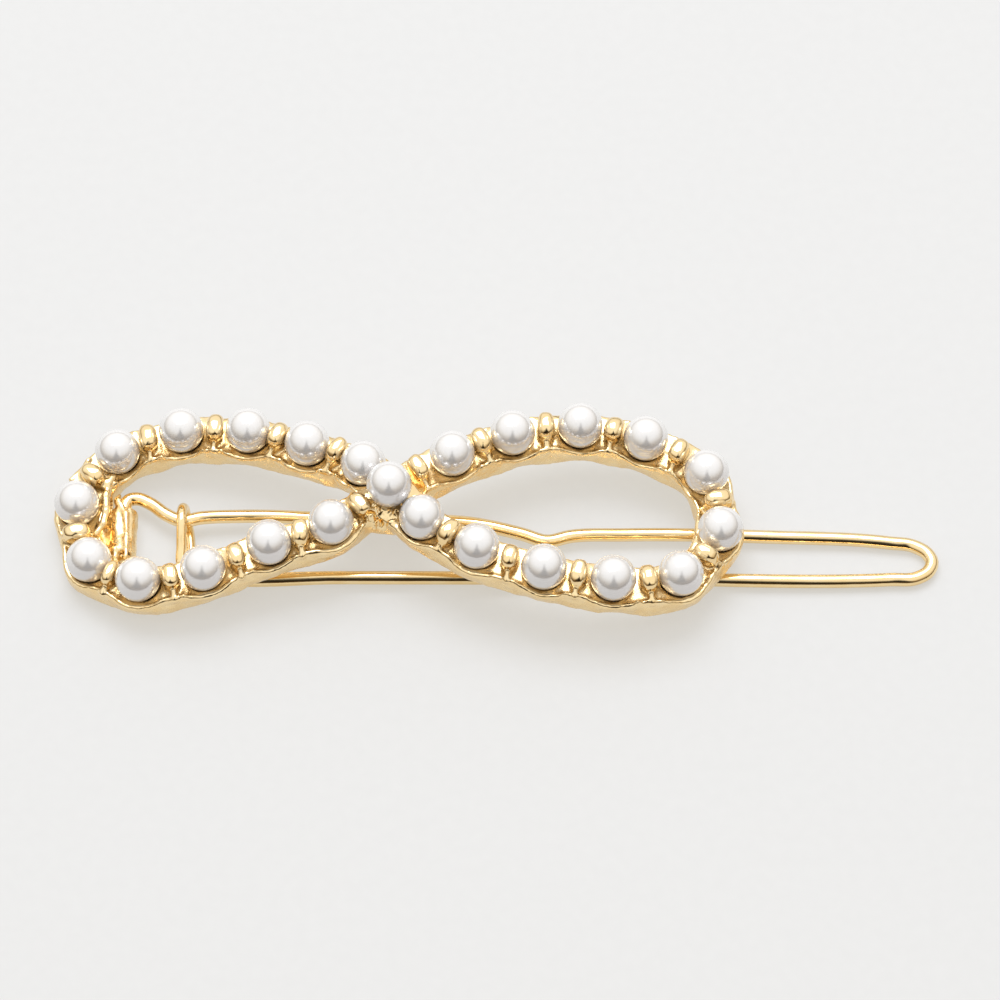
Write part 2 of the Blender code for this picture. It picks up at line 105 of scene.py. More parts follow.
# ---- studio ----
WORLD_STRENGTH = 1.12
SOFT_BOX_WATTS = 2.7
SOFT_BOX_SIZE = (420.0, 340.0)
SOFT_BOX_PLACE = (-30.0, 260.0, 540.0)
FLOOR_HALF = 1500.0
STAND_SHADE = 0.05            # brightness left in the dark stand's reflection
FLOOR_GLOW = 0.525            # emission of the floor: a painted glow that lifts its shadows
CAMERA_TARGET = (0.61, 3.57, 0.0)
CAMERA_DISTANCE = 331.8
CAMERA_ELEVATION = math.radians(60)
SENSOR_WIDTH = 36.0
VIEW_WIDTH = 88.889           # seen across the picture at VIEW_DISTANCE
VIEW_DISTANCE = 330.0
CLIP_START = 10.0             # nearest thing that the camera shows


def smooth_curve(points, closed, step):
    """Points about `step` apart on a curve through the given points, and where those are."""
    pts = np.array(points, dtype=float)
    count = len(pts)
    if closed:
        before, after = np.roll(pts, 1, axis=0), np.roll(pts, -1, axis=0)
    else:
        before = np.vstack([2 * pts[0] - pts[1], pts[:-1]])
        after = np.vstack([pts[1:], 2 * pts[-1] - pts[-2]])
    back = np.linalg.norm(pts - before, axis=1)[:, None]
    ahead = np.linalg.norm(after - pts, axis=1)[:, None]
    slope = ((pts - before) / back * ahead + (after - pts) / ahead * back) / (back + ahead)
    result, marks = [], []
    for i in range(count if closed else count - 1):
        j = (i + 1) % count
        length = ahead[i, 0]
        steps = max(2, round(length / step))
        marks.append(len(result))
        t = (np.arange(steps) / steps)[:, None]
        span = ((2 * t**3 - 3 * t**2 + 1) * pts[i] + (t**3 - 2 * t**2 + t) * length * slope[i]
                + (3 * t**2 - 2 * t**3) * pts[j] + (t**3 - t**2) * length * slope[j])
        result.extend(span)
    marks.append(len(result))
    result.append(pts[0] if closed else pts[-1])
    return np.array(result), marks


def arc_lengths(points):
    steps = np.linalg.norm(np.diff(points, axis=0), axis=1)
    return np.concatenate([[0.0], np.cumsum(steps)])


def smax(a, b, k):
    """Maximum with a rounded corner."""
    return np.maximum(a, b) + np.maximum(k - np.abs(a - b), 0.0) ** 2 / (4 * k)


def smin(a, b, k):
    return -smax(-a, -b, k)


def ramp(x, low, high):
    """0 below low, 1 above high, smooth between."""
    t = np.clip((x - low) / (high - low), 0.0, 1.0)
    return t * t * (3 - 2 * t)


class Lattice:
    """Smooth value noise in one to three dimensions."""

    def __init__(self, seed, size=32):
        self.size = size
        self.values = np.random.default_rng(seed).uniform(-1, 1, (size, size, size)).astype(np.float32)

    def __call__(self, x, y, z, scale):
        out = 0.0
        cells = []
        for c in (x, y, z):
            c = np.asarray(c, dtype=np.float32) / scale + 100.0
            i = np.floor(c).astype(np.int32)
            t = c - i
            cells.append((i, t * t * (3 - 2 * t)))
        for a in (0, 1):
            wa = cells[0][1] if a else 1 - cells[0][1]
            for b in (0, 1):
                wb = cells[1][1] if b else 1 - cells[1][1]
                for c in (0, 1):
                    wc = cells[2][1] if c else 1 - cells[2][1]
                    out = out + wa * wb * wc * self.values[(cells[0][0] + a) % self.size,
                                                           (cells[1][0] + b) % self.size,
                                                           (cells[2][0] + c) % self.size]
        return out


# ---- the strand that carries the pearls ----
def pearl_centres():
    """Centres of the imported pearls, in millimetres."""
    centres = []
    for number in range(1, PEARLS + 1):
        low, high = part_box(f"pearl_{number:02d}")
        centres.append([(high.x + low.x) / 2 / MM, (high.y + low.y) / 2 / MM,
                        high.z / MM - PEARL_RADIUS])
    return np.array(centres)


CENTRES = pearl_centres()


class Strand:
    """The figure eight through the pearls. Heights are those of the band's underside."""

    def __init__(self):
        base = CENTRES - (0, 0, PEARL_HEIGHT)
        base[0, 2] -= CROSSING_LIFT
        under = [(*UNDER_CROSSING, base[0, 2])]
        stops = np.vstack([base[:RIGHT_LOOP], under, base[RIGHT_LOOP:]])
        self.points, marks = smooth_curve(stops, closed=True, step=0.12)
        self.along = arc_lengths(self.points[:, :2])
        self.length = self.along[-1]
        at = self.along[marks]
        self.lower = at[RIGHT_LOOP]
        self.seats = np.concatenate([at[:RIGHT_LOOP], at[RIGHT_LOOP + 1:-1]])
        ends = np.sort(np.append(self.seats, [self.lower, self.length]))
        gaps = np.diff(ends)
        self.prongs = ((ends[1:] + ends[:-1]) / 2)[gaps > TOUCHING_PITCH]
        self.rooms = (gaps / 2 - PEARL_RADIUS)[gaps > TOUCHING_PITCH]
        tangent = np.roll(self.points[:-1, :2], -1, axis=0) - np.roll(self.points[:-1, :2], 1, axis=0)
        tangent = np.vstack([tangent, tangent[:1]])
        self.tangent = tangent / np.linalg.norm(tangent, axis=1)[:, None]

    def at(self, s):
        """Plan position, underside height and tangent at distance s."""
        s = s % self.length
        place = [np.interp(s, self.along, self.points[:, k]) for k in range(3)]
        heading = [np.interp(s, self.along, self.tangent[:, k]) for k in range(2)]
        return np.array(place), np.array(heading) / np.hypot(*heading)

    def nearest(self, stops, s):
        """Distance from each s to the nearest of the stops, round the closed strand."""
        best = np.full(np.shape(s), 1e3, dtype=np.float32)
        for stop in stops:
            offset = np.abs((s - stop + self.length / 2) % self.length - self.length / 2)
            best = np.minimum(best, offset)
        return best

    def locate(self, x, y, start, end):
        """For plan points: distance along the strand, distance to its left, and whether the
        nearest place is inside the stretch from start to end rather than at one of its ends."""
        s_all = np.concatenate([self.along[:-1] - self.length, self.along])
        pick = (s_all >= start) & (s_all <= end)
        s_pick = s_all[pick]
        index = (np.arange(len(s_all)) % (len(self.along) - 1))[pick]
        px, py = self.points[index, 0], self.points[index, 1]
        flat_x, flat_y = x.ravel(), y.ravel()
        best = np.empty(len(flat_x), dtype=np.int32)
        batch = 4096
        for a in range(0, len(flat_x), batch):
            dx = flat_x[a:a + batch, None] - px[None, :]
            dy = flat_y[a:a + batch, None] - py[None, :]
            best[a:a + batch] = np.argmin(dx * dx + dy * dy, axis=1)
        dx, dy = flat_x - px[best], flat_y - py[best]
        tx, ty = self.tangent[index[best], 0], self.tangent[index[best], 1]
        s = s_pick[best] + dx * tx + dy * ty
        w = dy * tx - dx * ty
        inside = (best > 0) & (best < len(px) - 1)
        return s.reshape(x.shape), w.reshape(x.shape), inside.reshape(x.shape)


STRAND = Strand()
WANDER = Lattice(5)


def wander(s, side, channel, wavelength):
    """Slow unevenness along the strand, different on each side of it."""
    return WANDER(s, side * 7.3 + channel * 3.1, channel * 1.7, wavelength)


def band_profile(s, w):
    """The band's section at each place: base, underside, rim height, trough, ridge, foot.

    blend goes from 0 beside a pearl to 1 beside a prong, facing is 1 on a wall that looks to +Y,
    tucked marks the walls that the band draws in, and low is 1 under the crossing.
    """
    length = STRAND.length
    to_pearl = STRAND.nearest(STRAND.seats, s)
    to_prong = STRAND.nearest(STRAND.prongs, s)
    share = to_pearl / (to_pearl + to_prong + 1e-6)
    blend = 0.5 - 0.5 * np.cos(np.pi * share)
    side = np.sign(w)
    round_s = s % length
    from_upper = np.minimum(round_s, length - round_s)
    from_lower = np.abs(round_s - STRAND.lower)
    lift = CROSSING_LIFT * np.exp(-((from_upper / LIFT_LENGTH) ** 2))
    low = 1 - ramp(from_lower, 2.2, 3.2)
    base = np.interp(round_s, STRAND.along, STRAND.points[:, 2]) + lift + LOWER_LIFT * low

    facing = side * np.interp(round_s, STRAND.along, STRAND.tangent[:, 0])
    outer = np.where(round_s < STRAND.lower, side < 0, side > 0)
    turned = outer * np.sqrt(np.maximum(1 - facing**2, 0.0)) * (facing < 0.5)
    tucked = np.clip(np.maximum(facing, 0.0) + turned, 0.0, 1.0)
    ridge = RIDGE_HALF - 0.33 * blend - 0.25 * tucked + 0.06 * wander(s, side, 1, 1.6)
    ridge = ridge - 0.4 * turned * blend
    rim = RIM_HEIGHT + (0.36 - 0.22 * facing) * blend - 0.15 * tucked
    rim = rim + 0.12 * wander(s, side, 2, 1.3)
    cusp = np.exp(-((to_prong - CUSP_OFFSET) / 0.3) ** 2)
    rim = rim + cusp * (0.16 + 0.4 * wander(s, side, 3, 0.9)) * (1 - 0.75 * tucked)
    trough = TROUGH_HEIGHT + 0.12 * blend + 0.12 * wander(s, side, 4, 1.1)
    notch = (side < 0) * np.exp(-(((s - NOTCH_AT) / NOTCH_LENGTH) ** 4))
    rim = rim - 0.75 * notch
    trough = trough - 0.35 * notch
    rim = rim * (1 - low) + LOW_RIM * low
    trough = trough * (1 - low) + LOW_TROUGH * low
    foot = FOOT_HALF + (0.2 - 0.25 * tucked - 0.4 * turned) * blend
    foot = foot + 0.1 * wander(s, side, 5, 1.7)
    under = base + 0.07 + 0.07 * wander(s, side, 6, 1.5)
    under = np.where(base < 0.08, base, under)
    return base, under, rim, trough, ridge, foot


def band_field(x, y, z, start, end):
    """Field of one stretch of the band on the grid: negative inside."""
    s, w, inside = STRAND.locate(x, y, start, end)
    base, under, rim, trough, ridge, foot = band_profile(s, w)
    reach = np.abs(w)
    crest = np.exp(-((np.minimum(reach - ridge, 0.0)) / CREST_WIDTH) ** 2)
    top = base + trough + (rim - trough) * crest
    field = np.full((x.shape[0], x.shape[1], len(z)), FAR, dtype=np.float32)
    use = inside & (reach < 4.0)
    top, under, foot, ridge, base, rim, reach = (
        v[use][:, None] for v in (top, under, foot, ridge, base, rim, reach))
    zz = z[None, :]
    rise = np.clip((zz - base) / rim, 0.0, 1.0)
    half = foot + (ridge + WALL_BEYOND_RIDGE - foot) * rise + WALL_BULGE * np.sin(np.pi * rise)
    values = smax(zz - top, reach - half, 0.34)
    values = smax(values, under - zz, 0.3)
    field[use] = values
    return field


# ---- field builder ----
class Field:
    """A grid of values, negative inside the casting, that solids are added to and cut from."""

    def __init__(self, low, high):
        self.low = np.array(low, dtype=float)
        self.counts = np.ceil((np.array(high) - self.low) / GRID).astype(int) + 1
        self.axes = [self.low[k] + GRID * np.arange(self.counts[k]) for k in range(3)]
        self.values = np.full(tuple(self.counts), FAR, dtype=np.float32)

    def window(self, centre, reach):
        """Slices and coordinates of the part of the grid near a point."""
        spans = []
        for k in range(3):
            a = int(np.floor((centre[k] - reach[k] - self.low[k]) / GRID))
            b = int(np.ceil((centre[k] + reach[k] - self.low[k]) / GRID)) + 1
            spans.append(slice(max(a, 0), max(min(b, self.counts[k]), 0)))
        grids = np.meshgrid(*(self.axes[k][spans[k]] for k in range(3)), indexing="ij")
        return tuple(spans), grids

    def add(self, centre, reach, shape, k):
        spans, (x, y, z) = self.window(centre, reach)
        self.values[spans] = smin(self.values[spans], shape(x, y, z).astype(np.float32), k)

    def cut(self, centre, reach, shape, k):
        spans, (x, y, z) = self.window(centre, reach)
        self.values[spans] = smax(self.values[spans], -shape(x, y, z).astype(np.float32), k)


def ellipsoid(x, y, z, centre, along, radii, lean=0.0, power=2.0):
    """Field of an ellipsoid whose first axis is `along` in plan and third is up; a power above
    two makes it squarer."""
    dx, dy, dz = x - centre[0], y - centre[1], z - centre[2]
    u = np.abs(dx * along[0] + dy * along[1])
    v = np.abs(-dx * along[1] + dy * along[0] + lean * dz)
    size, slope = 1e-9, 1e-9
    for reach, radius in ((u, radii[0]), (v, radii[1]), (np.abs(dz), radii[2])):
        size = size + (reach / radius) ** power
        slope = slope + ((reach / radius) ** (power - 1) / radius) ** 2
    size = size ** (1 / power)
    return (size - 1) * size ** (power - 1) / np.sqrt(slope)


def capsule(x, y, z, a, b, ra, rb):
    """Field of a rod with rounded ends of two radii."""
    a, b = np.array(a), np.array(b)
    d = b - a
    t = ((x - a[0]) * d[0] + (y - a[1]) * d[1] + (z - a[2]) * d[2]) / (d @ d)
    t = np.clip(t, 0, 1)
    gap = np.sqrt((x - a[0] - t * d[0]) ** 2 + (y - a[1] - t * d[1]) ** 2
                  + (z - a[2] - t * d[2]) ** 2)
    return gap - (ra + (rb - ra) * t)


def prong_places():
    """Centre, heading, radii and lean of each prong's grain."""
    places = []
    for s, room in zip(STRAND.prongs, STRAND.rooms):
        place, heading = STRAND.at(s)
        turn = math.radians(RNG.uniform(-10, 10))
        heading = np.array([heading[0] * math.cos(turn) - heading[1] * math.sin(turn),
                            heading[0] * math.sin(turn) + heading[1] * math.cos(turn)])
        size = RNG.uniform(0.95, 1.05, 3)
        centre = (place[0], place[1], place[2] + GRAIN_HEIGHT)
        length = min(GRAIN_LENGTHS[1], max(room - GRAIN_GAP, GRAIN_LENGTHS[0]))
        radii = np.array([length, GRAIN_HALF_WIDTH, GRAIN_HALF_HEIGHT]) * size
        lean = RNG.uniform(-0.25, 0.25)
        places.append((centre, heading, radii, lean))
    return places


def add_prong(field, centre, heading, radii, lean):
    """A grain between two pearls, the lump under it, and a stem down the band's near side."""
    saddle = (centre[0], centre[1], centre[2] - SADDLE_DROP)
    field.add(saddle, (2.6, 2.6, 2.6),
              lambda x, y, z: ellipsoid(x, y, z, saddle, heading, SADDLE_RADII), 0.3)
    across = np.array([-heading[1], heading[0]])
    if across[1] > 0:
        across = -across
    top = np.array(centre) + (*across * 0.95, -0.3)
    foot_distance = 1.1 + 0.78 * across[1] ** 2
    foot = np.array(centre) + (*across * foot_distance, -0.75)
    field.add(centre, (2.8, 2.8, 2.4),
              lambda x, y, z: capsule(x, y, z, top, foot, 0.2, 0.3), 0.25)
    field.add(centre, (2.4, 2.4, 2.8),
              lambda x, y, z: ellipsoid(x, y, z, centre, heading, radii, lean, GRAIN_POWER), 0.12)


def cut_cup(field, centre):
    radii = (CUP_RADIUS, CUP_RADIUS, CUP_RADIUS)
    field.cut(centre, (2.5, 2.5, 2.5),
              lambda x, y, z: ellipsoid(x, y, z, centre, (1, 0), radii), 0.12)


def add_peg(field, centre):
    """The peg that a pearl is glued on."""
    foot = (centre[0], centre[1], centre[2] - PEG_FOOT)
    tip = (centre[0], centre[1], centre[2] - PEG_TIP)
    field.add(centre, (1.0, 1.0, 3.0),
              lambda x, y, z: capsule(x, y, z, foot, tip, *PEG_RADII), 0.1)


def cut_bore(field):
    """The hole through the knuckle for the wire's pin."""
    field.cut((PIN_X, -0.7, PIN_Z), (1.2, 3.4, 1.2),
              lambda x, y, z: np.hypot(x - PIN_X, z - PIN_Z) - BORE_RADIUS, 0.06)


def build_field():
    """The whole casting as a field."""
    low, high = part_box("frame_casting")
    field = Field([v / MM - FIELD_MARGIN for v in low], [v / MM + FIELD_MARGIN for v in high])
    x, y = np.meshgrid(field.axes[0], field.axes[1], indexing="ij")
    z = field.axes[2]
    quarter = STRAND.length / 4
    lap = 2.0
    upper = band_field(x, y, z, -quarter - lap, quarter + lap)
    lower = band_field(x, y, z, quarter - lap, 3 * quarter + lap)
    crossing = CENTRES[0]
    near = 1 - ramp(np.hypot(x - crossing[0], y - crossing[1]), 5.0, 8.0)
    field.values = smin(upper, lower, (0.02 + 0.5 * near)[:, :, None]).astype(np.float32)

    add_web(field)
    add_notch_web(field)
    for prong in prong_places():
        add_prong(field, *prong)
    for centre in CENTRES:
        cut_cup(field, centre)
    roughen(field)
    for centre in CENTRES:
        add_peg(field, centre)
    cut_bore(field)
    trim = -field.axes[2][None, None, :] + FLOOR_Z
    field.values = smax(field.values, trim.astype(np.float32), 0.05)
    return field


# Ridges of the web, in the coordinates of WIRE_PATH: centreline and radius.
WEB_RIDGES = (
    (((-25.3, 4.3, 2.9), (-25.65, 3.6, 2.8), (-25.8, 2.4, 2.75), (-25.7, 0.9, 2.7),
      (-25.9, -0.4, 2.65), (-26.5, -1.3, 2.5)), 0.3),
    (((-24.9, 2.1, 2.4), (-24.5, 1.5, 2.8), (-23.9, 0.45, 2.95), (-23.75, -1.7, 2.95),
      (-23.7, -3.9, 2.8)), 0.2),
    (((-24.5, 0.5, 2.3), (-24.7, -0.7, 2.5), (-24.45, -1.9, 2.45), (-24.05, -3.0, 2.6)), 0.17),
)


def add_web(field):
    """The web and knuckle that tie the wire's pin to the left end."""
    lumps = Lattice(21)

    def web(x, y, z):
        """A crumpled sheet from the left end's inner wall, rising over the knuckle."""
        near_end, far_end = -3.9, 3.2
        edge = np.interp(y, (near_end, 0.0, 1.1, 2.1), (-32.2, -32.15, -32.5, -32.9))
        left = np.interp(y, (-3.6, -1.1, far_end), (-35.1, -35.8, -35.2))
        flat = np.zeros_like(z)
        crumple = np.abs(lumps(x, y, flat, 0.95)) + 0.4 * np.abs(lumps(x, y, flat + 5, 0.5))
        top = 0.95 + 1.35 * ramp(x, -34.1, -33.2) + 0.6 * crumple
        top = np.where(x > edge, 2.35, top)
        under = np.where(x < -33.8, 0.3, 2.45)
        shell = smax(z - top, under - z, 0.2)
        sides = smax(left - x, x - edge - 0.25 - 0.22 * (3.2 - z), 0.2)
        ends = smax(y - far_end, near_end - y, 0.3)
        return smax(smax(shell, sides, 0.2), ends, 0.3)

    def knuckle(x, y, z):
        barrel = np.hypot(x - PIN_X, z - PIN_Z) - KNUCKLE_RADIUS
        foot = smax(np.abs(x - PIN_X + 0.25) - 0.95, z - 1.6, 0.2)
        body = smin(barrel, foot, 0.3)
        middle, half = (KNUCKLE_Y[0] + KNUCKLE_Y[1]) / 2, (KNUCKLE_Y[1] - KNUCKLE_Y[0]) / 2
        return smax(body, np.abs(y - middle) - half, 0.15)

    field.add((-33.6, -0.4, 2.0), (3.0, 5.0, 3.0), web, 0.3)
    field.add((PIN_X, -0.7, PIN_Z), (2.4, 3.4, 2.6), knuckle, 0.35)
    for ridge, radius in WEB_RIDGES:
        for a, b in zip(ridge, ridge[1:]):
            a, b = np.array(a) - ORIGIN, np.array(b) - ORIGIN
            field.add((a + b) / 2, (2.6, 2.6, 1.6),
                      lambda x, y, z: capsule(x, y, z, a, b, radius, radius), 0.3)


def add_notch_web(field):
    """The small rough web in the notch below the crossing."""
    lumps = Lattice(23)
    centre = CENTRES[0] + (-0.9, -1.75, 0)
    base = CENTRES[0][2] - PEARL_HEIGHT - CROSSING_LIFT

    def web(x, y, z):
        dx, dy = x - centre[0], y - centre[1]
        flat = np.zeros_like(z)
        crumple = np.abs(lumps(x, y, flat, 0.5)) + 0.5 * np.abs(lumps(x, y, flat + 5, 0.3))
        top = base + 1.6 + 1.7 * crumple + 0.35 * dy
        outline = smax(np.abs(dx) - 1.7, np.abs(dy + 0.1 * dx) - 1.0, 0.4)
        return smax(smax(z - top, base + 0.45 - z, 0.25), outline, 0.3)

    field.add((centre[0], centre[1], base + 1), (3.2, 2.6, 2.4), web, 0.3)


def roughen(field):
    """Unevenness of the casting: soft waves of two lengths, and small lumps."""
    waves, lumps = Lattice(31), Lattice(37)
    near = np.nonzero(np.abs(field.values) < 0.6)
    x, y, z = (field.axes[k][near[k]] for k in range(3))
    shift = 0.05 * waves(x, y, z, 1.4) + 0.035 * waves(x, y, z, 0.7)
    shift = shift + 0.03 * lumps(x, y, z, 0.38)
    field.values[near] += shift.astype(np.float32)


def surface_net(field):
    """Vertices and quads of the surface where the field is zero."""
    f = field.values
    nx, ny, nz = f.shape
    inside = f < 0
    corners = [inside[a:nx - 1 + a, b:ny - 1 + b, c:nz - 1 + c]
               for a in (0, 1) for b in (0, 1) for c in (0, 1)]
    total = sum(c.astype(np.int8) for c in corners)
    cells = np.argwhere((total > 0) & (total < 8))
    number = np.full((nx - 1, ny - 1, nz - 1), -1, dtype=np.int32)
    number[tuple(cells.T)] = np.arange(len(cells))
    sums = np.zeros((len(cells), 3))
    hits = np.zeros(len(cells))
    for axis in range(3):
        others = [k for k in range(3) if k != axis]
        for p in (0, 1):
            for q in (0, 1):
                start = cells.copy()
                start[:, others[0]] += p
                start[:, others[1]] += q
                end = start.copy()
                end[:, axis] += 1
                fa, fb = f[tuple(start.T)], f[tuple(end.T)]
                cross = (fa < 0) != (fb < 0)
                t = np.where(cross, fa / np.where(cross, fa - fb, 1.0), 0.0)
                spot = (start - cells).astype(float)
                spot[:, axis] += t
                sums += spot * cross[:, None]
                hits += cross
    points = field.low + GRID * (cells + sums / hits[:, None])
    quads = []
    for axis in range(3):
        others = [(axis + 1) % 3, (axis + 2) % 3]
        a = [slice(None)] * 3
        b = [slice(None)] * 3
        a[axis], b[axis] = slice(0, -1), slice(1, None)
        ia, ib = inside[tuple(a)], inside[tuple(b)]
        edges = np.argwhere(ia != ib)
        keep = np.all([(edges[:, k] > 0) & (edges[:, k] < f.shape[k] - 1) for k in others], axis=0)
        edges = edges[keep]
        outward = ia[tuple(edges.T)]
        around = []
        for du, dv in ((-1, -1), (0, -1), (0, 0), (-1, 0)):
            cell = edges.copy()
            cell[:, others[0]] += du
            cell[:, others[1]] += dv
            around.append(number[tuple(cell.T)])
        quad = np.stack(around, axis=1)
        quad[~outward] = quad[~outward][:, ::-1]
        quads.append(quad)
    return points, np.vstack(quads)


def relax(points, quads, rounds, factor):
    """Even out the net a little, keeping its volume: each round shrinks it, then grows it."""
    growth = 1.03
    count = len(points)
    pairs = np.vstack([quads[:, [k, (k + 1) % 4]] for k in range(4)])
    degree = np.bincount(pairs.ravel(), minlength=count).astype(float)
    for step in range(rounds * 2):
        sums = np.stack([np.bincount(pairs[:, 0], points[pairs[:, 1], k], count)
                         + np.bincount(pairs[:, 1], points[pairs[:, 0], k], count)
                         for k in range(3)], axis=1)
        weight = factor if step % 2 == 0 else -factor * growth
        points = points + weight * (sums / degree[:, None] - points)
    return points


def mesh_from(name, points, faces):
    """A smooth-shaded mesh from points in millimetres."""
    mesh = bpy.data.meshes.new(name)
    mesh.from_pydata((np.asarray(points) * MM).tolist(), [],
                     faces.tolist() if hasattr(faces, "tolist") else faces)
    mesh.validate()
    mesh.shade_smooth()
    return mesh


def add_piece(name, mesh, material, body, node, place=(0.0, 0.0, 0.0)):
    """A piece of the visual model, riding on a body and standing for a CAD node."""
    obj = bpy.data.objects.new(name, mesh)
    bpy.context.scene.collection.objects.link(obj)
    obj.location = Vector(place) * MM
    mesh.materials.append(material)
    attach(obj, body)
    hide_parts(node)


# ---- materials ----
def new_material(name):
    material = bpy.data.materials.new(name)
    material.use_nodes = True
    tree = material.node_tree
    return material, tree, tree.nodes["Principled BSDF"]


def noise_node(tree, scale, detail, vector, rough=0.5):
    node = tree.nodes.new("ShaderNodeTexNoise")
    node.inputs["Scale"].default_value = scale
    node.inputs["Detail"].default_value = detail
    node.inputs["Roughness"].default_value = rough
    tree.links.new(vector, node.inputs["Vector"])
    return node.outputs["Fac"]


def map_range(tree, value, low, high, to_low, to_high):
    node = tree.nodes.new("ShaderNodeMapRange")
    limits = {"From Min": low, "From Max": high, "To Min": to_low, "To Max": to_high}
    for key, number in limits.items():
        node.inputs[key].default_value = number
    tree.links.new(value, node.inputs["Value"])
    return node.outputs["Result"]


def math_node(tree, operation, *values):
    """A maths node; each value is a socket or a number."""
    node = tree.nodes.new("ShaderNodeMath")
    node.operation = operation
    for socket, value in zip(node.inputs, values):
        if isinstance(value, float):
            socket.default_value = value
        else:
            tree.links.new(value, socket)
    return node.outputs[0]


def two_tone(tree, shader, value, low, high, a, b):
    """Base colour that goes from a to b as the value goes from low to high."""
    node = tree.nodes.new("ShaderNodeMix")
    node.data_type = "RGBA"
    tree.links.new(map_range(tree, value, low, high, 0.0, 1.0), node.inputs["Factor"])
    node.inputs["A"].default_value = (*a, 1.0)
    node.inputs["B"].default_value = (*b, 1.0)
    tree.links.new(node.outputs["Result"], shader.inputs["Base Color"])


def add_bump(tree, shader, height, strength, distance):
    node = tree.nodes.new("ShaderNodeBump")
    node.inputs["Strength"].default_value = strength
    node.inputs["Distance"].default_value = distance
    tree.links.new(height, node.inputs["Height"])
    tree.links.new(node.outputs["Normal"], shader.inputs["Normal"])


def object_coordinates(tree):
    return tree.nodes.new("ShaderNodeTexCoord").outputs["Object"]


def gold_casting_material():
    """Plated casting: bright on crests and prongs, satin and grainy on walls and in hollows."""
    material, tree, shader = new_material("gold_casting_look")
    place = object_coordinates(tree)
    polish = tree.nodes.new("ShaderNodeAttribute")
    polish.attribute_name = "polish"
    shader.inputs["Metallic"].default_value = 1.0
    tone = noise_node(tree, 900.0, 3.0, place)
    two_tone(tree, shader, tone, 0.35, 0.65, (0.91, 0.68, 0.355), (0.94, 0.745, 0.435))
    satin = map_range(tree, polish.outputs["Fac"], 0.0, 1.0, 0.27, 0.10)
    blotch = map_range(tree, noise_node(tree, 1500.0, 2.0, place), 0.3, 0.7, -0.04, 0.05)
    tree.links.new(math_node(tree, "ADD", satin, blotch), shader.inputs["Roughness"])
    grain = noise_node(tree, 2600.0, 4.0, place, 0.6)
    amount = map_range(tree, polish.outputs["Fac"], 0.0, 1.0, 1.0, 0.15)
    add_bump(tree, shader, math_node(tree, "MULTIPLY", grain, amount), 0.35, 0.12 * MM)
    return material


def gold_wire_material():
    """Plated spring wire: bright, with faint drawing lines and small variations."""
    material, tree, shader = new_material("gold_wire_look")
    place = object_coordinates(tree)
    shader.inputs["Metallic"].default_value = 1.0
    tone = noise_node(tree, 500.0, 3.0, place)
    two_tone(tree, shader, tone, 0.35, 0.65, (0.91, 0.68, 0.35), (0.94, 0.74, 0.42))
    stretch = tree.nodes.new("ShaderNodeMapping")
    stretch.inputs["Scale"].default_value = (0.06, 1.0, 1.0)
    tree.links.new(place, stretch.inputs["Vector"])
    lines = noise_node(tree, 9000.0, 3.0, stretch.outputs["Vector"])
    tree.links.new(map_range(tree, lines, 0.3, 0.7, 0.07, 0.15), shader.inputs["Roughness"])
    add_bump(tree, shader, lines, 0.12, 0.02 * MM)
    return material


def pearl_material():
    """Imitation pearl: white body under a soft nacre gloss with a faint rosy drift."""
    material, tree, shader = new_material("pearl_look")
    place = object_coordinates(tree)
    drift = noise_node(tree, 260.0, 2.0, place)
    two_tone(tree, shader, drift, 0.35, 0.65, (0.725, 0.72, 0.712), (0.745, 0.72, 0.717))
    cloud = noise_node(tree, 1200.0, 3.0, place)
    tree.links.new(map_range(tree, cloud, 0.3, 0.7, 0.16, 0.22), shader.inputs["Roughness"])
    shader.inputs["Metallic"].default_value = 0.35
    shader.inputs["Coat Weight"].default_value = 1.0
    shader.inputs["Coat Roughness"].default_value = 0.08
    shader.inputs["Coat IOR"].default_value = 2.0
    add_bump(tree, shader, cloud, 0.05, 0.03 * MM)
    return material


def paper_material():
    """The pale floor: a matt sheet with a faint tooth, and a warm painted glow, no lamp, that lifts
    its shadows and tints them warm.
    """
    material, tree, shader = new_material("paper_look")
    place = object_coordinates(tree)
    tooth = noise_node(tree, 900.0, 4.0, place)
    # Painted light: the base colour is dim and cool, and the warm glow below lifts the floor's shadows
    # and tints them warm.
    two_tone(tree, shader, tooth, 0.3, 0.7, (0.215, 0.23, 0.258), (0.225, 0.24, 0.268))
    shader.inputs["Emission Color"].default_value = (1.0, 0.955, 0.87, 1.0)
    shader.inputs["Emission Strength"].default_value = FLOOR_GLOW
    shader.inputs["Roughness"].default_value = 0.9
    shader.inputs["Specular IOR Level"].default_value = 0.2
    add_bump(tree, shader, tooth, 0.05, 0.1 * MM)
    return material


# ---- pieces ----
def polish_of(points):
    """1 on crests and prongs, 0 on walls and in hollows, for each vertex."""
    quarter = STRAND.length / 4
    result = np.zeros(len(points))
    for start, end in ((-quarter, quarter), (quarter, 3 * quarter)):
        s, w, inside = STRAND.locate(points[:, 0], points[:, 1], start - 1, end + 1)
        base, _, rim, *_ = band_profile(s, w)
        height = points[:, 2] - base
        crest = ramp(height - rim, -0.45, -0.1)
        crest = crest * ramp(np.abs(w), 1.2, 1.7) * (np.abs(w) < 3.2) * inside
        result = np.maximum(result, crest)
    for s in STRAND.prongs:
        place, _ = STRAND.at(s)
        offset = np.hypot(points[:, 0] - place[0], points[:, 1] - place[1])
        grain = (1 - ramp(offset, 1.5, 1.8)) * ramp(points[:, 2] - place[2], 2.5, 3.0)
        result = np.maximum(result, grain)
    return result


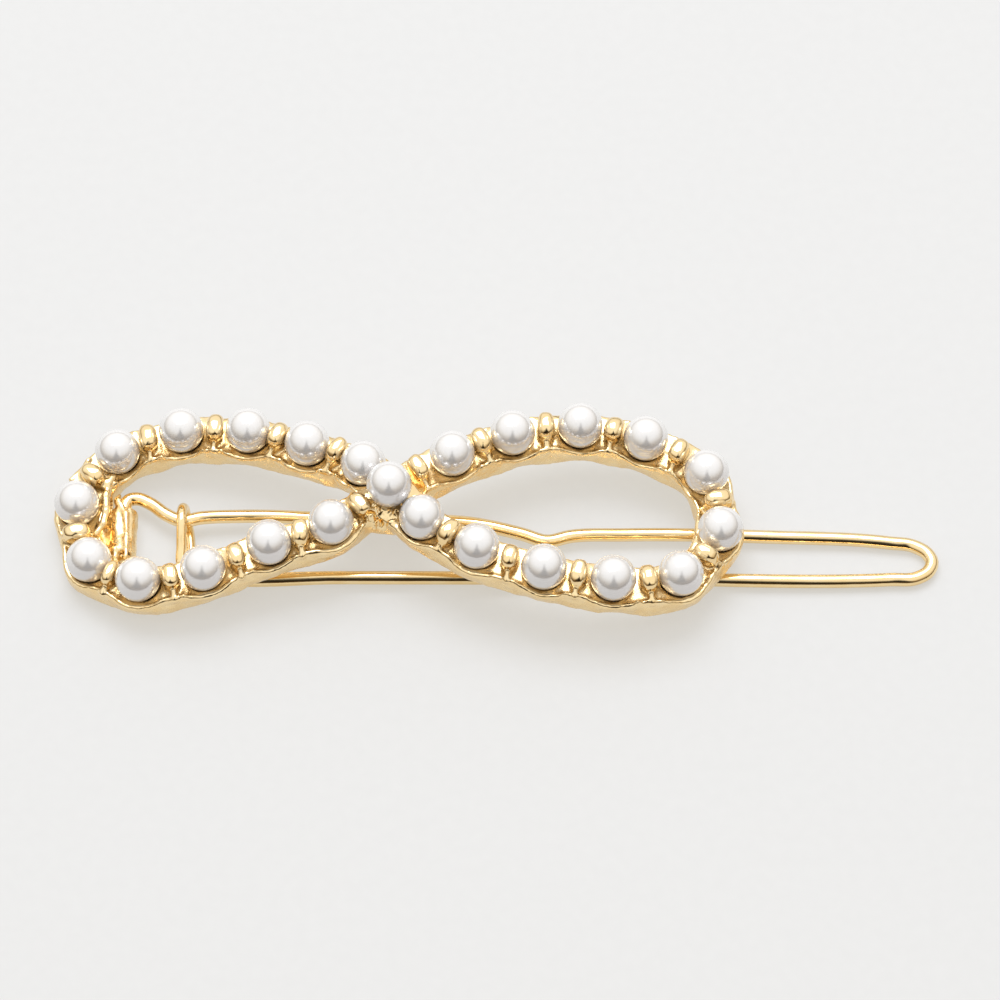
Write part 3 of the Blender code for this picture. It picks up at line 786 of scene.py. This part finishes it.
def build_casting():
    field = build_field()
    points, quads = surface_net(field)
    points = relax(points, quads, RELAX_ROUNDS, RELAX_FACTOR)
    mesh = mesh_from("casting", points, quads)
    attribute = mesh.attributes.new("polish", "FLOAT", "POINT")
    attribute.data.foreach_set("value", polish_of(points).astype(np.float32))
    add_piece("casting", mesh, gold_casting_material(), "frame", "frame_casting")


def pearl_shape(seed):
    """A turned ball with a blind hole from below, very slightly out of round."""
    segments, rings = 48, 30
    hole, top = PEARL_HOLE_RADIUS, PEARL_HOLE_TOP
    start = -math.acos(hole / PEARL_RADIUS)
    profile = [(hole * 0.6, top), (hole, top - 0.15)]
    for k in range(rings):
        angle = start + (math.pi / 2 - start) * k / rings
        profile.append((PEARL_RADIUS * math.cos(angle), PEARL_RADIUS * math.sin(angle)))
    points = [(0.0, 0.0, top), (0.0, 0.0, PEARL_RADIUS)]
    for r, z in profile:
        for k in range(segments):
            angle = 2 * math.pi * k / segments
            points.append((r * math.cos(angle), r * math.sin(angle), z))
    faces = []
    last = 2 + (len(profile) - 1) * segments
    for k in range(segments):
        j = (k + 1) % segments
        faces.append((0, 2 + j, 2 + k))
        faces.append((1, last + k, last + j))
        for i in range(len(profile) - 1):
            row = 2 + i * segments
            faces.append((row + k, row + j, row + segments + j, row + segments + k))
    points = np.array(points)
    bumps = Lattice(seed)
    swell = 1 + 0.004 * bumps(points[:, 0], points[:, 1], points[:, 2], 1.6)
    return points * swell[:, None], faces


def build_pearls():
    material = pearl_material()
    for number, centre in enumerate(CENTRES, 1):
        points, faces = pearl_shape(100 + number)
        name = f"pearl_ball_{number:02d}"
        mesh = mesh_from(name, points, faces)
        add_piece(name, mesh, material, "frame", f"pearl_{number:02d}", centre)


# Centreline of the wire, as in the CAD: x, y, z and radius, from the pin to the hook's tip.
# The hook is drawn thinner than the rest.
WIRE_PATH = (
    (-24.2, 2.0, 1.5, 0.6), (-23.9, 2.6, 1.5, 0.6), (-23.2, 2.75, 1.52, 0.6),
    (-21.9, 2.2, 1.56, 0.6), (-20.5, 1.1, 1.6, 0.6), (-19.0, 0.45, 1.6, 0.6),
    (-17.5, 0.75, 1.58, 0.6), (-14.0, 0.95, 1.54, 0.6), (-3.0, 0.6, 1.38, 0.6),
    (7.5, 0.25, 1.22, 0.6), (11.2, -0.7, 1.17, 0.6), (13.2, -1.35, 1.14, 0.6),
    (15.3, -0.85, 1.1, 0.6), (20.0, -0.65, 1.03, 0.6), (33.0, -0.75, 0.82, 0.6),
    (43.5, -1.25, 0.66, 0.6), (45.8, -1.6, 0.62, 0.6), (46.9, -2.35, 0.61, 0.6),
    (47.25, -3.2, 0.61, 0.6), (46.9, -4.1, 0.61, 0.6), (45.8, -4.8, 0.62, 0.6),
    (43.5, -4.95, 0.64, 0.6), (20.0, -4.95, 0.86, 0.6), (-5.0, -5.0, 1.1, 0.6),
    (-16.4, -5.05, 1.2, 0.58), (-18.2, -4.8, 1.24, 0.5), (-18.95, -3.9, 1.4, 0.45),
    (-19.0, -2.4, 1.85, 0.45), (-19.0, -1.0, 2.45, 0.45), (-19.0, 0.2, 2.78, 0.45),
    (-19.0, 1.35, 2.3, 0.45), (-18.9, 1.72, 1.5, 0.45), (-18.75, 1.1, 0.66, 0.45),
    (-18.5, 0.0, 0.48, 0.45), (-18.3, -1.6, 0.55, 0.45), (-18.2, -3.0, 0.7, 0.45),
)


# The pin's head: distance beyond the knuckle's end, and radius.
PIN_HEAD = ((0.62, 0.1), (0.6, 0.4), (0.53, 0.66), (0.42, 0.79), (0.22, 0.79), (0.13, 0.72),
            (0.11, 0.6))


def wire_stations():
    """Centres and radii along the wire, with a rounded pin head and a rounded tip."""
    y0, y1 = KNUCKLE_Y
    head = [(PIN_X, y0 - out, PIN_Z, radius) for out, radius in PIN_HEAD]
    pin = [(PIN_X, y, PIN_Z, WIRE_RADIUS) for y in (y0 + 1.5, y1 + 0.1)]
    start = [(PIN_X, y1 + 0.25, PIN_Z, WIRE_RADIUS)]
    path = np.array(WIRE_PATH) - (*ORIGIN, 0)
    curve, _ = smooth_curve(np.vstack([start, path]), closed=False, step=0.28)
    tail, end = curve[-2, :3], curve[-1, :3]
    ahead = (end - tail) / np.linalg.norm(end - tail)
    tip = [(*(end + ahead * HOOK_RADIUS * math.sin(a)), HOOK_RADIUS * max(math.cos(a), 0.12))
           for a in (0.5, 0.9, 1.25, 1.5)]
    return np.array(head + pin + [tuple(p) for p in curve] + tip)


def build_wire():
    sides = 24
    stations = wire_stations()
    centres = stations[:, :3]
    points, faces = [], []
    up = np.array([0.0, 0.0, 1.0])
    last = len(centres) - 1
    for i, centre in enumerate(centres):
        tangent = centres[min(i + 1, last)] - centres[max(i - 1, 0)]
        tangent /= np.linalg.norm(tangent)
        up = up - tangent * (up @ tangent)
        up /= np.linalg.norm(up)
        side = np.cross(tangent, up)
        for k in range(sides):
            angle = 2 * math.pi * k / sides
            points.append(centre + (side * math.cos(angle) + up * math.sin(angle)) * stations[i, 3])
    for i in range(last):
        for k in range(sides):
            a, b = i * sides + k, i * sides + (k + 1) % sides
            faces.append((a, b, b + sides, a + sides))
    points.extend([centres[0], centres[-1]])
    tail = last * sides
    for k in range(sides):
        j = (k + 1) % sides
        faces.append((len(points) - 2, j, k))
        faces.append((len(points) - 1, tail + k, tail + j))
    mesh = mesh_from("wire_loop", points, faces)
    add_piece("wire_loop", mesh, gold_wire_material(), "loop", "clip_wire")


# ---- studio ----
def build_floor():
    corners = [(x * FLOOR_HALF, y * FLOOR_HALF, FLOOR_Z)
               for x, y in ((-1, -1), (1, -1), (1, 1), (-1, 1))]
    mesh = mesh_from("floor", corners, [(0, 1, 2, 3)])
    mesh.materials.append(paper_material())
    floor = bpy.data.objects.new("floor", mesh)
    bpy.context.scene.collection.objects.link(floor)


def build_world():
    """A soft white tent: bright overhead and behind, dark and warm low down in front.

    A dark stand in front of the barrette, wide at its foot and narrow at its top, gives the
    metal and the pearls something dark to reflect.
    """
    world = bpy.data.worlds.new("studio")
    bpy.context.scene.world = world
    world.use_nodes = True
    tree = world.node_tree
    background = tree.nodes["Background"]
    direction = tree.nodes.new("ShaderNodeTexCoord").outputs["Generated"]
    tilt = math.radians(15)
    lean = tree.nodes.new("ShaderNodeVectorMath")
    lean.operation = "DOT_PRODUCT"
    lean.inputs[1].default_value = (0.0, math.sin(tilt), math.cos(tilt))
    tree.links.new(direction, lean.inputs[0])
    height = tree.nodes.new("ShaderNodeValToRGB")
    stops = ((0.0, (0.16, 0.11, 0.06)), (0.18, (0.36, 0.29, 0.20)), (0.38, (0.74, 0.70, 0.63)),
             (0.58, (0.95, 0.94, 0.92)), (0.8, (1.0, 1.0, 1.0)))
    elements = height.color_ramp.elements
    while len(elements) < len(stops):
        elements.new(0.5)
    for element, (position, color) in zip(elements, stops):
        element.position = position
        element.color = (*color, 1.0)
    tree.links.new(lean.outputs["Value"], height.inputs["Fac"])

    split = tree.nodes.new("ShaderNodeSeparateXYZ")
    tree.links.new(direction, split.inputs[0])
    side, depth, up = (split.outputs[axis] for axis in "XYZ")
    horizon = map_range(tree, up, 0.0, 0.16, 0.25, 1.0)
    half = map_range(tree, up, 0.3, 0.9, 0.40, 0.05)
    past_edge = math_node(tree, "SUBTRACT", math_node(tree, "ABSOLUTE", side), half)
    beside = map_range(tree, past_edge, -0.09, 0.06, 0.0, 1.0)
    behind = map_range(tree, depth, -0.4, -0.28, 0.0, 1.0)
    below = map_range(tree, up, 0.18, 0.28, 1.0, 0.0)
    clear = math_node(tree, "MAXIMUM", math_node(tree, "MAXIMUM", beside, behind), below)
    stand = map_range(tree, clear, 0.0, 1.0, STAND_SHADE, 1.0)
    product = tree.nodes.new("ShaderNodeVectorMath")
    product.operation = "SCALE"
    tree.links.new(height.outputs["Color"], product.inputs[0])
    tree.links.new(math_node(tree, "MULTIPLY", horizon, stand), product.inputs["Scale"])
    tree.links.new(product.outputs["Vector"], background.inputs["Color"])
    background.inputs["Strength"].default_value = WORLD_STRENGTH


def build_lights():
    """One large soft box above and behind the barrette."""
    data = bpy.data.lights.new("soft_box", "AREA")
    data.shape = "RECTANGLE"
    data.size = SOFT_BOX_SIZE[0] * MM
    data.size_y = SOFT_BOX_SIZE[1] * MM
    data.energy = SOFT_BOX_WATTS
    lamp = bpy.data.objects.new("soft_box", data)
    bpy.context.scene.collection.objects.link(lamp)
    lamp.location = Vector(SOFT_BOX_PLACE) * MM
    lamp.rotation_euler = (-lamp.location).to_track_quat("-Z", "Y").to_euler()


def build_camera():
    """The camera looks along +Y and down at its target."""
    data = bpy.data.cameras.new("camera")
    data.sensor_width = SENSOR_WIDTH
    data.lens = SENSOR_WIDTH * VIEW_DISTANCE / VIEW_WIDTH
    data.clip_start = CLIP_START * MM
    camera = bpy.data.objects.new("camera", data)
    bpy.context.scene.collection.objects.link(camera)
    back = Vector((0.0, -math.cos(CAMERA_ELEVATION), math.sin(CAMERA_ELEVATION)))
    camera.location = Vector(CAMERA_TARGET) * MM + back * (CAMERA_DISTANCE * MM)
    camera.rotation_euler = (math.radians(90) - CAMERA_ELEVATION, 0.0, 0.0)
    bpy.context.scene.camera = camera


build_casting()
build_pearls()
build_wire()
build_floor()
build_world()
build_lights()
build_camera()
scene = bpy.context.scene
scene.view_settings.view_transform = "Standard"
scene.view_settings.look = "None"
